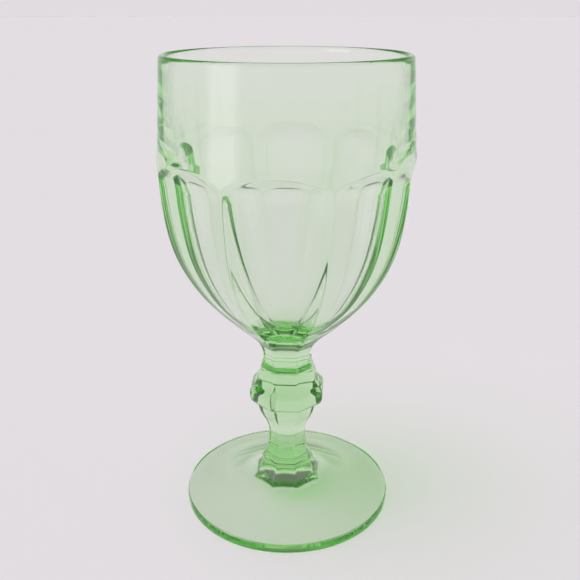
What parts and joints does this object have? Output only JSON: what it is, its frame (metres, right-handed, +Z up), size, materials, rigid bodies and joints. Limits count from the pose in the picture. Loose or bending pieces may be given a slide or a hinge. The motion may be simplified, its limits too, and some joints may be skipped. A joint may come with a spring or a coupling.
{
  "type": "footed goblet",
  "caption": "Footed water goblet in pale green pressed glass: plain rim band above arched flat panels, a faceted stem with a knop, and a round foot.",
  "frame": {"origin": "centre of the foot, on the surface that the goblet stands on", "axes": "+Z up along the goblet's axis to the lip; a flat of the faceted stem and panels faces each of -Y, +Y, -X and +X"},
  "size_m": [0.0916, 0.0916, 0.175],
  "materials": {
    "green_glass": "clear pale yellow-green pressed glass, fire-polished, darker green where it is thick"
  },
  "bodies": {
    "root": {"bowl": "green_glass", "upper_collar": "green_glass", "knop": "green_glass", "lower_stem": "green_glass", "lower_collar": "green_glass", "foot": "green_glass"}
  },
  "joints": []
}
